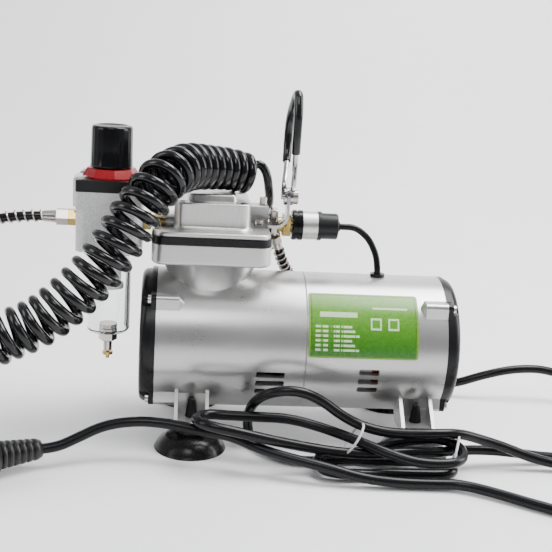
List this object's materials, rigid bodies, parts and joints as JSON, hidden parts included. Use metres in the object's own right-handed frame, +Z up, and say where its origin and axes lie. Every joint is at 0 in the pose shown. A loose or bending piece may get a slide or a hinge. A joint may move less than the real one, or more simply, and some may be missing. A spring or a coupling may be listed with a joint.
{
  "type": "airbrush compressor",
  "caption": "Small oil-less airbrush compressor with filter regulator, pressure switch, airbrush holder, coil hose and tied mains lead.",
  "frame": {"origin": "on the surface the suction cups stand on, under the middle of the compressor without hose and lead", "axes": "+X along the motor shaft from the regulator to the plain end, +Y from the nameplate side to the back, +Z up"},
  "size_m": [0.6416, 0.2338, 0.2299],
  "materials": {
    "silver_casting": "satin",
    "black_cover": "satin",
    "zinc_screw": "satin",
    "green_plate": "gloss",
    "black_rubber": "satin",
    "lamination": "satin",
    "copper_wire": "gloss",
    "bearing_steel": "polished",
    "black_moulding": "satin",
    "cast_aluminium": "matte",
    "seal_rubber": "matte",
    "gloss_black": "gloss",
    "machined_aluminium": "brushed",
    "dark_screw": "satin",
    "nickel": "satin",
    "brass": "satin",
    "black_cable": "gloss",
    "chrome_plate": "polished",
    "black_vinyl": "gloss",
    "speckled_grey": "satin",
    "zinc_steel": "brushed",
    "red_collar": "satin",
    "clear_bowl": "clear",
    "filter_white": "matte",
    "dial_white": "matte",
    "needle_black": "satin",
    "clear_lens": "clear",
    "black_hose": "gloss",
    "plug_black": "satin"
  },
  "bodies": {
    "base": {"crankcase_housing": "silver_casting", "motor_housing": "silver_casting", "left_end_cover": "black_cover", "right_end_cover": "black_cover", "cover_screws": "zinc_screw", "nameplate": "green_plate", "suction_cups": "black_rubber", "stator_core": "lamination", "stator_windings": "copper_wire", "shaft_bearings": "bearing_steel", "cylinder_sleeve": "cast_aluminium", "cylinder_gasket": "seal_rubber", "valve_plate": "gloss_black", "cylinder_head": "machined_aluminium", "head_screws": "dark_screw", "outlet_block": "cast_aluminium", "outlet_manifold": "nickel", "fitting_screws": "nickel", "switch_neck": "brass", "switch_body": "gloss_black", "switch_band": "machined_aluminium", "switch_cap": "black_moulding", "switch_cable": "black_cable", "cable_grommet": "black_rubber", "holder_bracket": "chrome_plate", "regulator_body": "speckled_grey", "bonnet_plate": "black_moulding", "bonnet_screws": "zinc_screw", "wall_bracket": "zinc_steel", "lock_collar": "red_collar", "filter_bowl": "clear_bowl", "filter_element": "filter_white", "drain_valve": "nickel", "gauge_case": "black_moulding", "gauge_dial": "dial_white", "gauge_lens": "clear_lens", "port_nipples": "brass", "hose_fittings": "nickel", "coil_hose": "black_hose", "hose_lead": "black_hose", "hose_tail": "black_hose", "mains_gland": "black_cable", "mains_hank": "black_cable", "mains_lead_rear": "black_cable", "mains_bight": "black_cable", "mains_lead_front": "black_cable", "mains_plug": "plug_black"},
    "rotor": {"rotor_core": "lamination", "rotor_shaft": "bearing_steel", "cooling_fan": "black_moulding", "crank_disc": "cast_aluminium"},
    "rod": {"connecting_rod": "cast_aluminium", "piston_seal": "seal_rubber"},
    "holder": {"holder_hook": "chrome_plate", "holder_grip": "black_vinyl"},
    "thumbscrew": {"thumb_screw": "nickel"},
    "spindle": {"adjusting_spindle": "brass"},
    "knob": {"regulator_knob": "gloss_black"},
    "drain": {"drain_pin": "brass"},
    "needle": {"gauge_needle": "needle_black"}
  },
  "joints": [
    {"name": "rotor_spin", "type": "hinge", "parent": "base", "child": "rotor", "pos_m": [0.04, 0, 0.0616], "axis": [1, 0, 0], "continuous": true},
    {"name": "piston_slide", "type": "slide", "parent": "base", "child": "rod", "axis": [0, 0, 1], "range_m": [-0.012, 0]},
    {"name": "holder_tilt", "type": "hinge", "parent": "base", "child": "holder", "pos_m": [0.0161, -0.006, 0.16], "axis": [1, 0, 0], "range_deg": [-65, 60]},
    {"name": "thumb_screw_turn", "type": "hinge", "parent": "base", "child": "thumbscrew", "pos_m": [0.0161, -0.006, 0.16], "axis": [1, 0, 0], "range_deg": [0, 360]},
    {"name": "pressure_adjust", "type": "hinge", "parent": "base", "child": "spindle", "pos_m": [-0.098, -0.014, 0.17], "axis": [0, 0, 1], "range_deg": [-720, 720]},
    {"name": "knob_pull", "type": "slide", "parent": "spindle", "child": "knob", "axis": [0, 0, 1], "range_m": [0, 0.004]},
    {"name": "drain_push", "type": "slide", "parent": "base", "child": "drain", "axis": [0, 0, 1], "range_m": [0, 0.0008], "stiffness_N_per_m": 300},
    {"name": "gauge_needle", "type": "hinge", "parent": "base", "child": "needle", "pos_m": [-0.098, 0.024, 0.1422], "axis": [0, 1, 0], "range_deg": [0, 270]}
  ]
}
